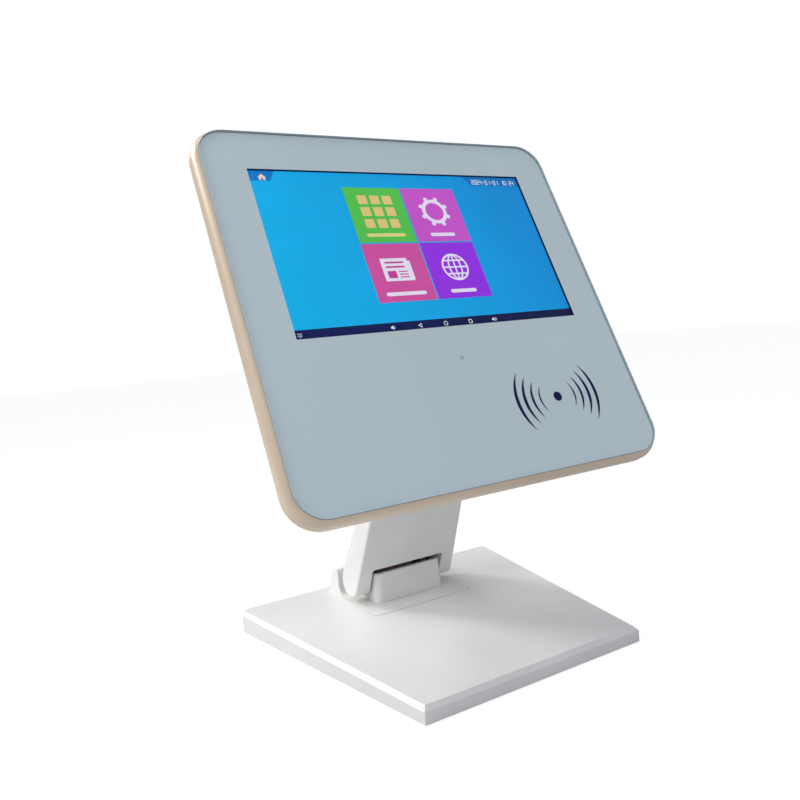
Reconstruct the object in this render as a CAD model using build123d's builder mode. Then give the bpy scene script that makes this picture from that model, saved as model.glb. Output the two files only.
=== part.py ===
from build123d import *
import os
from math import cos, radians, sin

os.makedirs("parts", exist_ok=True)

# A point-of-sale touchscreen terminal: a leaning glass-fronted panel on a broad neck, hinged at both
# ends, over a weighted base. Millimetres and degrees. +Z is up, -Y is the user's side, and the origin
# is the middle of the footprint, on the counter.

# ---- Base: a wedge with a trapezoid plan ----
BASE_DEPTH = 254.0
BASE_HALF_FRONT = 98.4
BASE_HALF_BACK = 138.9
BASE_TOP_MID = 16.4  # height of the top face at y = 0
BASE_TOP_RISE = 0.0252  # rise of the top face per mm towards the back
BASE_BOTTOM = 1.2  # the cover's lower edge, lifted by the feet
BASE_WALL = 3.0
BASE_BEVEL = 3.2
FLOOR_TOP = 4.2
BALLAST_TOP = 10.2

# ---- Pedestal: apron, front tower and rear wall round the neck's foot ----
APRON_HALF = 50.0
APRON_FRONT = 28.0
APRON_BACK = 121.0
APRON_PROUD = 0.4
APRON_THICK = 2.4
TOWER_HALF = 34.4
TOWER_FRONT = 51.0
TOWER_BACK = 79.0
TOWER_TOP = 44.7
TOWER_WALL = 2.5

# ---- Neck: seen from the side, round at both ends, each end centred on its hinge axis ----
NECK_LEAN = 26.0  # forward from vertical
LOWER_AXIS = (71.5, 37.4)  # y, z
NECK_LENGTH = 196.0  # from axis to axis, along the neck
FOOT_R = 14.0
CROWN_R = 12.0
CROWN_Q = CROWN_R - FOOT_R  # the upper axis lies this far behind the lower one, square to the neck
UPPER_AXIS = (CROWN_Q, NECK_LENGTH)
NECK_WALL = 2.6
NECK_EDGE_R = 1.6
NECK_HALF_AT_AXIS = 51.1
NECK_TAPER = 0.049  # loss of half width per mm up the neck
NOTCH_HALF = 37.1
NOTCH_TOP = 20.2
CROWN_SLOT_HALF = 29.0
CROWN_SLOT_FLOOR = NECK_LENGTH - 18.0

# ---- Panel: glass face and what is stacked behind it; depths are counted back from the glass face ----
GLASS_W = 322.4
GLASS_H = 304.9
GLASS_R = 22.0
GLASS_T = 3.0
PANEL_LEAN = 25.6  # back from vertical
PANEL_FOOT = (0, -107.6, 143.9)  # middle of the glass's lower front edge
VIEW_W, VIEW_H = 256.1, 144.5
VIEW_MID = 127.2 + VIEW_H / 2
READER_X, READER_U = 75.8, 57.5
SENSOR_U = 99.8
FRAME_PROUD = 4.2
FRAME_DEPTH = 20.5
FRAME_FRONT_R = 10.0  # the band swells outward from the glass's edge, and turns in again behind
FRAME_BACK_R = 4.5
BULGE_W, BULGE_H, BULGE_MID = 236.0, 190.0, 155.0
BULGE_DEPTH = 37.5
SKIRT_DEPTH = 25.0
HOUSING_WALL = 2.5
PLATE_MID = 157.0  # middle of the bracket's screw square
PLATE_SQUARE = 75.0

# ---- Hinge hardware ----
LOWER_SHAFT_R = 4.5
UPPER_SHAFT_R = 4.0
BUSH_WALL = 1.5
RUNNING = 0.05  # radial running clearance of a shaft in its bush
EAR_T = 3.0


def apron_top(y):
    """Height of the apron's upper face."""
    return BASE_TOP_MID + BASE_TOP_RISE * y + APRON_PROUD


def panel(depth=0.0):
    """A plane parallel to the glass, this far behind its face; local Y runs up the glass."""
    lean = radians(PANEL_LEAN)
    face = Plane(origin=PANEL_FOOT, x_dir=(1, 0, 0), z_dir=(0, -cos(lean), sin(lean)))
    return face.offset(-depth)


def neck_side(x=0.0):
    """The neck's side plane at x: local X runs rearwards from the lower axis, local Y up the neck."""
    lean = radians(NECK_LEAN)
    return Plane(
        origin=(x, LOWER_AXIS[0], LOWER_AXIS[1]),
        x_dir=(0, cos(lean), sin(lean)),
        z_dir=(1, 0, 0),
    )


def neck_face(q=0.0):
    """A plane parallel to the neck's front, q behind the lower axis; local Y runs up the neck."""
    lean = radians(NECK_LEAN)
    mid = Plane(
        origin=(0, LOWER_AXIS[0], LOWER_AXIS[1]),
        x_dir=(1, 0, 0),
        z_dir=(0, -cos(lean), -sin(lean)),
    )
    return mid.offset(-q)


def head_side(x=0.0):
    """The panel's side plane at x, centred on the upper axis; local X runs back, local Y up the glass."""
    lean = radians(PANEL_LEAN)
    axis = neck_side(x).from_local_coords((*UPPER_AXIS, 0))
    return Plane(origin=axis, x_dir=(0, cos(lean), -sin(lean)), z_dir=(1, 0, 0))


AXIS_DEPTH = -panel().to_local_coords(head_side().origin).Z  # of the upper axis behind the glass


def save(part, name):
    """Labels a finished piece and writes it as its own file."""
    part.label = name
    export_step(part, f"parts/{name}.step")


def sheet(depth, thick, width, height, mid_u, mid_x=0.0, radius=0.0):
    """A flat piece parallel to the glass: its front lies at depth, its centre at (mid_x, mid_u)."""
    with BuildPart(mode=Mode.PRIVATE) as flat:
        with BuildSketch(panel(depth + thick)):
            with Locations((mid_x, mid_u)):
                if radius:
                    RectangleRounded(width, height, radius)
                else:
                    Rectangle(width, height)
        extrude(amount=thick)
    return flat.part


def neck_half(t):
    """Half width of the neck at t up from the lower axis."""
    return NECK_HALF_AT_AXIS - NECK_TAPER * t


def neck_taper(side_inset, low, high):
    """The neck's front outline between two heights, drawn in the current sketch."""
    wide, narrow = neck_half(low) - side_inset, neck_half(high) - side_inset
    Polygon((-wide, low), (wide, low), (narrow, high), (-narrow, high), align=None)


def neck_form(inset):
    """The neck's whole form, inset all round: its side outline, cut to its tapering width."""
    low, high = FOOT_R - inset, CROWN_R - inset
    back = [(7.4, 150), (6.9, 100), (8.7, 58.6), (11.9, 33.4)]
    with BuildPart(mode=Mode.PRIVATE) as form:
        with BuildSketch(neck_side()):
            with BuildLine():
                Line((-low, 0), (-low, NECK_LENGTH))
                ThreePointArc(
                    (-low, NECK_LENGTH),
                    (CROWN_Q, NECK_LENGTH + high),
                    (CROWN_Q + high, NECK_LENGTH),
                )
                Spline(
                    (CROWN_Q + high, NECK_LENGTH),
                    *[(q - inset, t) for q, t in back],
                    (low, 0),
                    tangents=[(0, -1), (0, -1)],
                )
                ThreePointArc((low, 0), (0, -low), (-low, 0))
            make_face()
        extrude(amount=60, both=True)
        with BuildSketch(neck_face(-40)):
            neck_taper(inset, -FOOT_R - 2, NECK_LENGTH + CROWN_R + 2)
        extrude(amount=-80, mode=Mode.INTERSECT)
        if not inset:
            flanks = form.faces().sort_by(Axis.X)
            fillet(flanks[0].edges() + flanks[-1].edges(), NECK_EDGE_R)
    return form.part


def notch(grow):
    """What the tower's notch takes from the neck's foot, grown by the wall that lines it."""
    inner = FOOT_R - NECK_WALL
    with BuildPart(mode=Mode.PRIVATE) as cut:
        with BuildSketch(neck_side()):
            Polygon(
                (-30, -30),
                (30, -30),
                (30, -6),
                (inner, -6),
                (inner, NOTCH_TOP + grow),
                (-30, NOTCH_TOP + grow),
                align=None,
            )
        extrude(amount=NOTCH_HALF + grow, both=True)
        fillet(cut.faces().sort_by(Axis(neck_side().origin, neck_face(0).y_dir))[-1]
               .edges().filter_by(lambda e: abs(e.center().X) > NOTCH_HALF - 1), 2.5)
    return cut.part


def crown_slot(grow):
    """The slot in the neck's upper end that takes the head bracket's ears."""
    with BuildPart(mode=Mode.PRIVATE) as cut:
        with BuildSketch(neck_face(-40)):
            with Locations((0, CROWN_SLOT_FLOOR - grow)):
                Rectangle(2 * (CROWN_SLOT_HALF + grow), 60, align=(Align.CENTER, Align.MIN))
        extrude(amount=-80)
    return cut.part


def ring_solid(plane, outer, inner, length):
    """A washer, bush or spacer that runs along the plane's normal."""
    with BuildPart(mode=Mode.PRIVATE) as tube:
        with BuildSketch(plane):
            Circle(outer)
            Circle(inner, mode=Mode.SUBTRACT)
        extrude(amount=length)
    return tube.part


def screw(plane, head_r, head_t, shank_r, length):
    """A pan-head screw: the head's underside sits on the plane, the shank runs against its normal."""
    with BuildPart(mode=Mode.PRIVATE) as one:
        with BuildSketch(plane):
            Circle(head_r)
        extrude(amount=head_t)
        fillet(one.faces().sort_by(Axis(plane.origin, plane.z_dir))[-1].edges(), head_t * 0.35)
        with BuildSketch(plane.offset(head_t - 0.9)):
            Rectangle(head_r * 1.1, 0.8)
            Rectangle(0.8, head_r * 1.1)
        extrude(amount=2, mode=Mode.SUBTRACT)
        with BuildSketch(plane):
            Circle(shank_r)
        extrude(amount=-length)
    return one.part


def shifted(plane, x, y):
    """The same plane with its origin moved to local (x, y)."""
    return Plane(origin=plane.from_local_coords((x, y, 0)), x_dir=plane.x_dir, z_dir=plane.z_dir)


# ======================= Base body =======================


def base_outline(inset):
    """The base's plan: a trapezoid with sharp front corners and rounded back ones."""
    front, back = BASE_HALF_FRONT - inset, BASE_HALF_BACK - inset
    y = BASE_DEPTH / 2 - inset
    with BuildSketch(mode=Mode.PRIVATE) as plan:
        Polygon((-front, -y), (front, -y), (back, y), (-back, y), align=None)
        fillet(plan.vertices().sort_by(Axis.Y)[2:], 9 - inset)
    return plan.sketch


def wedge(inset):
    """The base's solid form under its sloping top, inset all round and from above."""
    top = Plane(
        origin=(0, 0, BASE_TOP_MID - inset), x_dir=(1, 0, 0), z_dir=(0, -BASE_TOP_RISE, 1)
    )
    with BuildPart(mode=Mode.PRIVATE) as form:
        with BuildSketch(Plane.XY.offset(BASE_BOTTOM)):
            add(base_outline(inset))
        extrude(amount=30)
        split(bisect_by=top, keep=Keep.BOTTOM)
    return form.part


with BuildPart() as base_cover:
    add(wedge(0))
    chamfer(base_cover.faces().sort_by(Axis.Z)[-1].edges(), BASE_BEVEL)
    add(wedge(BASE_WALL), mode=Mode.SUBTRACT)
    with BuildSketch(Plane.XY.offset(5)) as base_cover_hole:
        with Locations((0, (APRON_FRONT + APRON_BACK) / 2)):
            Rectangle(2 * APRON_HALF + 0.6, APRON_BACK - APRON_FRONT + 0.6)
        fillet(base_cover_hole.vertices().group_by(Axis.Y)[0], 5)
    extrude(amount=30, mode=Mode.SUBTRACT)
save(base_cover.part, "base_cover")

FLOOR_SCREWS = [(x, y) for y in (-112, 108) for x in (-88 - y / 8, 88 + y / 8)]
FEET = [(x, y) for y, reach in ((-104, 84), (104, 118)) for x in (-reach, reach)]
with BuildPart() as base_feet:
    with BuildSketch():
        with Locations(*FEET):
            Circle(8)
    extrude(amount=2.2)
    chamfer(base_feet.faces().filter_by(Plane.XY).group_by(Axis.Z)[0].edges(), 0.5)
save(base_feet.part, "base_feet")

PEDESTAL_POSTS = [(x, y) for y in (36, 114) for x in (-42, 42)]
BRACKET_BOLTS = [(x, y) for y in (63, 80) for x in (-20, 20)]
with BuildPart() as ballast_plate:
    with BuildSketch(Plane.XY.offset(FLOOR_TOP)):
        with Locations((0, 12)):
            RectangleRounded(150, 210, 8)
    extrude(amount=BALLAST_TOP - FLOOR_TOP)
    with Locations(*[(x, y, BALLAST_TOP) for x, y in PEDESTAL_POSTS + BRACKET_BOLTS]):
        Hole(2.1)
save(ballast_plate.part, "ballast_plate")

with BuildPart() as floor_plate_screws:
    for x, y in FLOOR_SCREWS:
        under = Plane(origin=(x, y, 2.2), x_dir=(1, 0, 0), z_dir=(0, 0, -1))
        add(screw(under, 3.0, 0.9, 1.5, 4.6))
save(floor_plate_screws.part, "floor_plate_screws")

WALL_INNER, WALL_TOP_FRONT, WALL_TOP_BACK = 98.4, (97.4, 43.9), (108.2, 40.2)


def pedestal_side(inset):
    """The pedestal's rear wall and apron seen from the side; inset gives the hollow inside the wall."""
    low = apron_top(APRON_FRONT) - APRON_THICK
    with BuildSketch(Plane.YZ, mode=Mode.PRIVATE) as side:
        if inset:
            Polygon(
                (WALL_INNER + inset, low - 1),
                (WALL_INNER + inset - 0.6, WALL_TOP_FRONT[1] - inset - 1.2),
                (WALL_TOP_BACK[0] - inset + 0.8, WALL_TOP_BACK[1] - inset - 0.6),
                (APRON_BACK - inset - 0.8, apron_top(APRON_BACK)),
                (APRON_BACK - inset - 0.8, low - 1),
                align=None,
            )
        else:
            Polygon(
                (APRON_FRONT, low),
                (APRON_FRONT, apron_top(APRON_FRONT)),
                (WALL_INNER, apron_top(WALL_INNER)),
                WALL_TOP_FRONT,
                WALL_TOP_BACK,
                (APRON_BACK, apron_top(APRON_BACK)),
                (APRON_BACK, low),
                align=None,
            )
            fillet(side.vertices().sort_by_distance((WALL_INNER, apron_top(WALL_INNER), 0))[0], 9)
            fillet(side.vertices().sort_by_distance((*WALL_TOP_FRONT, 0))[0], 2.5)
            fillet(side.vertices().sort_by_distance((*WALL_TOP_BACK, 0))[0], 4)
    return side.sketch


TOWER_DRAFT = 1.3
TOWER_CORNER = 6.5
TOWER_LIP = 3.6  # depth of the lid left over the tower's front wall
with BuildPart() as pedestal_cover:
    extrude(pedestal_side(0), amount=APRON_HALF, both=True)
    uprights = pedestal_cover.edges().filter_by(Axis.Z).group_by(Axis.Y)
    fillet(uprights[0], 5)
    fillet(uprights[-1], 2)
    with BuildSketch(Plane.XY.offset(TOWER_TOP)):
        with Locations((0, (TOWER_FRONT + TOWER_BACK) / 2)):
            Rectangle(2 * TOWER_HALF, TOWER_BACK - TOWER_FRONT)
    extrude(amount=-(TOWER_TOP - apron_top(TOWER_BACK) + 0.5), taper=-TOWER_DRAFT)
    corners = pedestal_cover.edges().filter_by_position(Axis.Y, TOWER_FRONT - 2, TOWER_FRONT + 1)
    fillet(corners.filter_by(lambda e: 15 < e.length and abs(e.center().X) > 30), TOWER_CORNER)
    fillet(pedestal_cover.faces().sort_by(Axis.Z)[-1].edges().sort_by(Axis.Y)[0], 1.2)
    # the tower is open at its top and back, and the hinge bracket comes up through the apron
    with BuildSketch(Plane.XY.offset(TOWER_TOP - TOWER_WALL)) as tower_hollow:
        with Locations((0, TOWER_FRONT + TOWER_WALL + 0.4)):
            Rectangle(2 * (TOWER_HALF - TOWER_WALL), 40, align=(Align.CENTER, Align.MIN))
        fillet(tower_hollow.vertices().group_by(Axis.Y)[0], TOWER_CORNER - TOWER_WALL)
    extrude(amount=-40, mode=Mode.SUBTRACT)
    with BuildSketch(Plane.XY.offset(TOWER_TOP + 1)):
        with Locations((0, TOWER_FRONT + TOWER_LIP)):
            opening = TOWER_BACK - TOWER_FRONT - TOWER_LIP + 0.2
            Rectangle(2 * (TOWER_HALF - TOWER_WALL), opening, align=(Align.CENTER, Align.MIN))
    extrude(amount=-20, mode=Mode.SUBTRACT)
    with BuildSketch(neck_side()):
        Circle(LOWER_SHAFT_R + 1.2)
    extrude(amount=60, both=True, mode=Mode.SUBTRACT)
    hollow = pedestal_side(TOWER_WALL)
    extrude(hollow, amount=APRON_HALF - TOWER_WALL, both=True, mode=Mode.SUBTRACT)
    with BuildSketch(Plane.XY.offset(BALLAST_TOP)):
        with Locations(*PEDESTAL_POSTS):
            Circle(4)
    extrude(amount=apron_top(APRON_FRONT) - 1 - BALLAST_TOP)
    with Locations(*[(x, y, BALLAST_TOP) for x, y in PEDESTAL_POSTS]):
        Hole(1.6, depth=5.5)
save(pedestal_cover.part, "pedestal_cover")

with BuildPart() as pedestal_screws:
    for x, y in PEDESTAL_POSTS:
        under = Plane(origin=(x, y, FLOOR_TOP), x_dir=(1, 0, 0), z_dir=(0, 0, -1))
        add(screw(under, 3.2, 1.6, 1.5, BALLAST_TOP - FLOOR_TOP + 4.5))
save(pedestal_screws.part, "pedestal_screws")

with BuildPart() as base_floor_plate:
    with BuildSketch(Plane.XY.offset(2.2)):
        add(base_outline(BASE_WALL + 0.4))
        with Locations(*PEDESTAL_POSTS):
            Circle(3.8, mode=Mode.SUBTRACT)
    extrude(amount=FLOOR_TOP - 2.2)
    with Locations(*[(x, y, FLOOR_TOP) for x, y in FLOOR_SCREWS]):
        Hole(1.7)
save(base_floor_plate.part, "base_floor_plate")

EAR_X = (-29.8, 11.3, 29.8)  # middles of the base bracket's ears, either side of the hinge leaf
BRACKET_TOP = BALLAST_TOP + 3
with BuildPart() as base_hinge_bracket:
    with BuildSketch(Plane.XY.offset(BALLAST_TOP)):
        with Locations((0, LOWER_AXIS[0])):
            RectangleRounded(62.6, 44, 4)
    extrude(amount=3)
    for x in EAR_X:
        with BuildSketch(Plane.YZ.offset(x - EAR_T / 2)):
            with Locations(LOWER_AXIS):
                Circle(9)
            Polygon((60, BRACKET_TOP), (82, BRACKET_TOP), (80, 30), (63, 34), align=None)
        extrude(amount=EAR_T)
    with BuildSketch(neck_side(-40)):
        Circle(LOWER_SHAFT_R + RUNNING + BUSH_WALL)
    extrude(amount=80, mode=Mode.SUBTRACT)
    with Locations(*[(x, y, BRACKET_TOP) for x, y in BRACKET_BOLTS]):
        Hole(2.2)
save(base_hinge_bracket.part, "base_hinge_bracket")

with BuildPart() as base_hinge_bushes:
    for x in EAR_X:
        bore = LOWER_SHAFT_R + RUNNING
        add(ring_solid(neck_side(x - EAR_T / 2), bore + BUSH_WALL, bore, EAR_T))
save(base_hinge_bushes.part, "base_hinge_bushes")

with BuildPart() as base_bracket_bolts:
    for x, y in BRACKET_BOLTS:
        over = Plane(origin=(x, y, BRACKET_TOP), x_dir=(1, 0, 0), z_dir=(0, 0, 1))
        add(screw(over, 4.0, 2.4, 2.0, BRACKET_TOP - FLOOR_TOP))
save(base_bracket_bolts.part, "base_bracket_bolts")

# ======================= Neck body =======================

COVER_LOW, COVER_HIGH = 26.0, 172.0
COVER_SIDE = 4.6  # from the neck's side to the rear cover's edge
COVER_GAP = 0.25
PRONG_HOLE_R = LOWER_SHAFT_R + 0.3
CHEEK_HOLE_R = UPPER_SHAFT_R + 0.3
LEAF_X = (-27.6, 9.2)
LEAF_Q = (-7.0, -4.0)


def cover_window(gap):
    """The straight-through window in the neck's back that the rear cover closes."""
    with BuildPart(mode=Mode.PRIVATE) as window:
        with BuildSketch(neck_face(3)):
            neck_taper(COVER_SIDE + gap, COVER_LOW + gap, COVER_HIGH - gap)
        extrude(amount=-30)
    return window.part


with BuildPart() as neck_cavity:
    add(neck_form(NECK_WALL))
    add(notch(NECK_WALL), mode=Mode.SUBTRACT)
    add(crown_slot(NECK_WALL), mode=Mode.SUBTRACT)

with BuildPart() as neck_front_shell:
    add(neck_form(0))
    add(neck_cavity.part, mode=Mode.SUBTRACT)
    add(notch(0), mode=Mode.SUBTRACT)
    add(crown_slot(0), mode=Mode.SUBTRACT)
    add(cover_window(0), mode=Mode.SUBTRACT)
    # the shafts and the hinge leaf pass through the inner walls
    with BuildSketch(neck_side(-NOTCH_HALF - NECK_WALL - 0.5)):
        Circle(PRONG_HOLE_R)
    extrude(amount=2 * (NOTCH_HALF + NECK_WALL) + 1, mode=Mode.SUBTRACT)
    with BuildSketch(neck_side(-CROWN_SLOT_HALF - NECK_WALL - 0.5)):
        with Locations((CROWN_Q, NECK_LENGTH)):
            Circle(CHEEK_HOLE_R)
    extrude(amount=2 * (CROWN_SLOT_HALF + NECK_WALL) + 1, mode=Mode.SUBTRACT)
    with BuildSketch(neck_side(LEAF_X[0] - 0.6)):
        with Locations((sum(LEAF_Q) / 2, NOTCH_TOP)):
            Rectangle(LEAF_Q[1] - LEAF_Q[0] + 1.2, 8)
    extrude(amount=LEAF_X[1] - LEAF_X[0] + 1.2, mode=Mode.SUBTRACT)
save(neck_front_shell.part, "neck_front_shell")

SPINE_Q = (-4.0, -1.0)
SPINE_T = (27.0, 168.0)
COVER_SCREWS = ((52.0, 8.1), (128.0, 5.4))  # how far up the neck, and how deep each head sits
with BuildPart() as neck_rear_cover:
    add(neck_form(0))
    add(neck_form(NECK_WALL), mode=Mode.SUBTRACT)
    add(cover_window(COVER_GAP), mode=Mode.INTERSECT)
    for t, seat in COVER_SCREWS:
        for radius, near in ((1.8, 0), (3.3, seat)):
            with BuildSketch(neck_face(near)):
                with Locations((0, t)):
                    Circle(radius)
            extrude(amount=-30, mode=Mode.SUBTRACT)
save(neck_rear_cover.part, "neck_rear_cover")

with BuildPart() as neck_spine:
    with BuildSketch(neck_face(SPINE_Q[1])):
        neck_taper(9.5, *SPINE_T)
        with Locations((0, 100)):
            SlotOverall(70, 24, rotation=90, mode=Mode.SUBTRACT)
        with Locations(*[(0, t) for t, _ in COVER_SCREWS]):
            Circle(1.6, mode=Mode.SUBTRACT)
    extrude(amount=SPINE_Q[1] - SPINE_Q[0])
save(neck_spine.part, "neck_spine")

LOWER_ARM_X = (41.0, 44.0)
UPPER_ARM_X = (33.0, 36.0)
LOWER_FOOT_SCREWS = [(35.5, 38), (35.5, 54)]
UPPER_FOOT_SCREWS = [(27, 145), (27, 159)]


def hinge_arms(web_x, foot_x, axis, eye_r, bore_r, web, foot_t, screws):
    """A mirrored pair of bent steel arms: a web with a shaft eye, and a foot on the spine's back."""
    with BuildPart() as arms:
        with BuildSketch(neck_side(web_x[0])):
            with Locations(axis):
                Circle(eye_r)
            Polygon(*web, align=None)
            with Locations(axis):
                Circle(bore_r, mode=Mode.SUBTRACT)
        extrude(amount=web_x[1] - web_x[0])
        with BuildSketch(neck_face(SPINE_Q[1] + EAR_T)):
            with Locations((sum(foot_x) / 2, sum(foot_t) / 2)):
                Rectangle(foot_x[1] - foot_x[0], foot_t[1] - foot_t[0])
            with Locations(*screws):
                Circle(1.5, mode=Mode.SUBTRACT)
        extrude(amount=EAR_T)
        mirror(about=Plane.YZ)
    return arms.part


save(
    hinge_arms(
        LOWER_ARM_X,
        (30.0, 41.5),
        (0, 0),
        9.0,
        LOWER_SHAFT_R,
        [(-8.9, 0), (8.9, 0), (6.0, 30), (3.4, 62), (-1.0, 62), (-1.0, 26), (-5.0, 20)],
        (30.0, 62.0),
        LOWER_FOOT_SCREWS,
    ),
    "lower_hinge_arms",
)
save(
    hinge_arms(
        UPPER_ARM_X,
        (20.0, 33.5),
        (CROWN_Q, NECK_LENGTH),
        7.5,
        UPPER_SHAFT_R,
        [(-1.0, 138), (3.4, 138), (5.4, 196), (-9.4, 196), (-6.0, 180), (-1.0, 170)],
        (138.0, 166.0),
        UPPER_FOOT_SCREWS,
    ),
    "upper_hinge_arms",
)

with BuildPart() as hinge_leaf:
    with BuildSketch(neck_side(LEAF_X[0])):
        Circle(7.5)
        with Locations((sum(LEAF_Q) / 2, 30)):
            Rectangle(LEAF_Q[1] - LEAF_Q[0], 60)
        Circle(LOWER_SHAFT_R, mode=Mode.SUBTRACT)
    extrude(amount=LEAF_X[1] - LEAF_X[0])
save(hinge_leaf.part, "hinge_leaf")

with BuildPart() as lower_hinge_shaft:
    with BuildSketch(neck_side(-46)):
        Circle(LOWER_SHAFT_R)
    extrude(amount=92)
    chamfer(lower_hinge_shaft.edges().filter_by(GeomType.CIRCLE), 0.8)
save(lower_hinge_shaft.part, "lower_hinge_shaft")

with BuildPart() as upper_hinge_shaft:
    with BuildSketch(neck_side(-38)):
        with Locations(UPPER_AXIS):
            Circle(UPPER_SHAFT_R)
    extrude(amount=76)
    chamfer(upper_hinge_shaft.edges().filter_by(GeomType.CIRCLE), 0.7)
save(upper_hinge_shaft.part, "upper_hinge_shaft")


def washer_stack(axis, shaft_r, outer, start, count):
    """Dished friction washers side by side along a hinge shaft, each a shallow cone."""
    with BuildPart() as stack:
        for k in range(count):
            x = start + 1.5 * k
            lean = 0.35 if k % 2 else -0.35
            centre = neck_side(0).from_local_coords((axis[0], axis[1], 0))
            across = Plane(origin=(x, centre.Y, centre.Z), x_dir=(1, 0, 0), z_dir=(0, -1, 0))
            with BuildSketch(across):
                Polygon(
                    (lean, shaft_r),
                    (lean + 0.7, shaft_r),
                    (0.7 - lean, outer),
                    (-lean, outer),
                    align=None,
                )
            revolve(axis=Axis((0, centre.Y, centre.Z), (1, 0, 0)))
    return stack.part


save(washer_stack((0, 0), LOWER_SHAFT_R, 7.4, 13.4, 5), "lower_friction_washers")
save(washer_stack(UPPER_AXIS, UPPER_SHAFT_R, 7.0, 12.3, 5), "upper_friction_washers")


def hex_nut(axis, x, thick, across, bore):
    """A hexagon nut on a hinge shaft, its inner face at x."""
    with BuildPart() as nut:
        with BuildSketch(neck_side(x)):
            with Locations(axis):
                RegularPolygon(across / 2, 6, major_radius=False)
                Circle(bore, mode=Mode.SUBTRACT)
        extrude(amount=thick)
    return nut.part


save(hex_nut((0, 0), 21.4, 5.0, 13.0, LOWER_SHAFT_R), "lower_hinge_nut")
save(hex_nut(UPPER_AXIS, 6.0, 5.6, 12.0, UPPER_SHAFT_R), "upper_hinge_nut")

with BuildPart() as spine_screws:
    for x, t in LOWER_FOOT_SCREWS + UPPER_FOOT_SCREWS:
        for side in (-1, 1):
            behind = neck_face(SPINE_Q[1] + EAR_T)
            seat = Plane(
                origin=behind.from_local_coords((side * x, t, 0)),
                x_dir=(1, 0, 0),
                z_dir=-behind.z_dir,
            )
            add(screw(seat, 2.4, 1.5, 1.5, EAR_T))
save(spine_screws.part, "spine_screws")

with BuildPart() as neck_cover_screws:
    for t, depth in COVER_SCREWS:
        behind = neck_face(depth)
        seat = Plane(
            origin=behind.from_local_coords((0, t, 0)), x_dir=(1, 0, 0), z_dir=-behind.z_dir
        )
        add(screw(seat, 3.0, 1.2, 1.6, depth - SPINE_Q[0]))
save(neck_cover_screws.part, "neck_cover_screws")

# ======================= Head body =======================

with BuildPart() as cover_glass:
    add(sheet(0, GLASS_T, GLASS_W, GLASS_H, GLASS_H / 2, radius=GLASS_R))
    face = cover_glass.faces().sort_by(Axis(PANEL_FOOT, panel().z_dir))[-1]
    chamfer(face.edges(), 0.8)
save(cover_glass.part, "cover_glass")

PRINT_DEPTH = GLASS_T + 0.1
with BuildPart() as printed_border:
    add(sheet(PRINT_DEPTH, 0.2, GLASS_W - 0.6, GLASS_H - 0.6, GLASS_H / 2, radius=GLASS_R - 0.3))
    add(sheet(PRINT_DEPTH - 1, 3, VIEW_W, VIEW_H, VIEW_MID), mode=Mode.SUBTRACT)
    with BuildSketch(panel(PRINT_DEPTH)):
        with Locations((0, SENSOR_U)):
            Circle(1.6)
    extrude(amount=-1, mode=Mode.SUBTRACT)
save(printed_border.part, "printed_border")

READER_DOT_R = 4.0
ARCS = ((17.7, 1.4), (25.0, 2.2), (32.5, 2.8), (40.0, 3.0))  # radius and greatest thickness
ARC_HALF_SPAN = 38.0
with BuildPart() as reader_symbol:
    with BuildSketch(panel(PRINT_DEPTH - 0.01)):
        with Locations((READER_X, READER_U)):
            Circle(READER_DOT_R)
        for side in (-1, 1):
            for r, thick in ARCS:
                reach = r * sin(radians(ARC_HALF_SPAN))
                rise = r * cos(radians(ARC_HALF_SPAN))
                tip_x = READER_X + side * rise
                with BuildLine():
                    ThreePointArc(
                        (tip_x, READER_U - reach),
                        (READER_X + side * (r + thick / 2), READER_U),
                        (tip_x, READER_U + reach),
                    )
                    ThreePointArc(
                        (tip_x, READER_U - reach),
                        (READER_X + side * (r - thick / 2), READER_U),
                        (tip_x, READER_U + reach),
                    )
                make_face()
    extrude(amount=0.08)
save(reader_symbol.part, "reader_symbol")

LEDGE_DEPTH = 4.0
LEDGE_IN = 3.5
with BuildPart() as glass_tape:
    wide, high = GLASS_W - 0.8, GLASS_H - 0.8
    add(sheet(3.3, 0.7, wide, high, GLASS_H / 2, radius=GLASS_R - 0.4))
    inner_w, inner_h = GLASS_W - 2 * LEDGE_IN, GLASS_H - 2 * LEDGE_IN
    hole = sheet(3, 2, inner_w, inner_h, GLASS_H / 2, radius=GLASS_R - LEDGE_IN)
    add(hole, mode=Mode.SUBTRACT)
save(glass_tape.part, "glass_tape")

SKIRT_GAP = 0.3
SKIRT_IN = 1.5  # the housing's skirt sits this far inside the glass's edge
SKIRT_FRONT = 16.5
with BuildPart() as edge_frame:
    grow = 2 * FRAME_PROUD
    add(
        sheet(
            0.3,
            FRAME_DEPTH - 0.3,
            GLASS_W + grow,
            GLASS_H + grow,
            GLASS_H / 2,
            radius=GLASS_R + FRAME_PROUD,
        )
    )
    faces = edge_frame.faces().sort_by(Axis(PANEL_FOOT, panel().z_dir))
    fillet(faces[0].edges(), FRAME_BACK_R)
    front = edge_frame.faces().sort_by(Axis(PANEL_FOOT, panel().z_dir))[-1]
    fillet(front.edges(), FRAME_FRONT_R)
    for depth, thick, inset in (
        (-1, 1 + LEDGE_DEPTH, -0.2),
        (LEDGE_DEPTH - 1, 20, LEDGE_IN),
        (SKIRT_FRONT, 5, SKIRT_IN),
    ):
        wide, high = GLASS_W - 2 * inset, GLASS_H - 2 * inset
        cut = sheet(depth, thick, wide, high, GLASS_H / 2, radius=GLASS_R - inset)
        add(cut, mode=Mode.SUBTRACT)
    # the band's two ends butt together under the panel, a little left of its middle
    add(sheet(-1, 25, 0.4, 1.0, -FRAME_PROUD, mid_x=-11.8), mode=Mode.SUBTRACT)
save(edge_frame.part, "edge_frame")

touch = sheet(3.32, 0.6, 262, 150, VIEW_MID)
save(touch, "touch_sensor")

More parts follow.
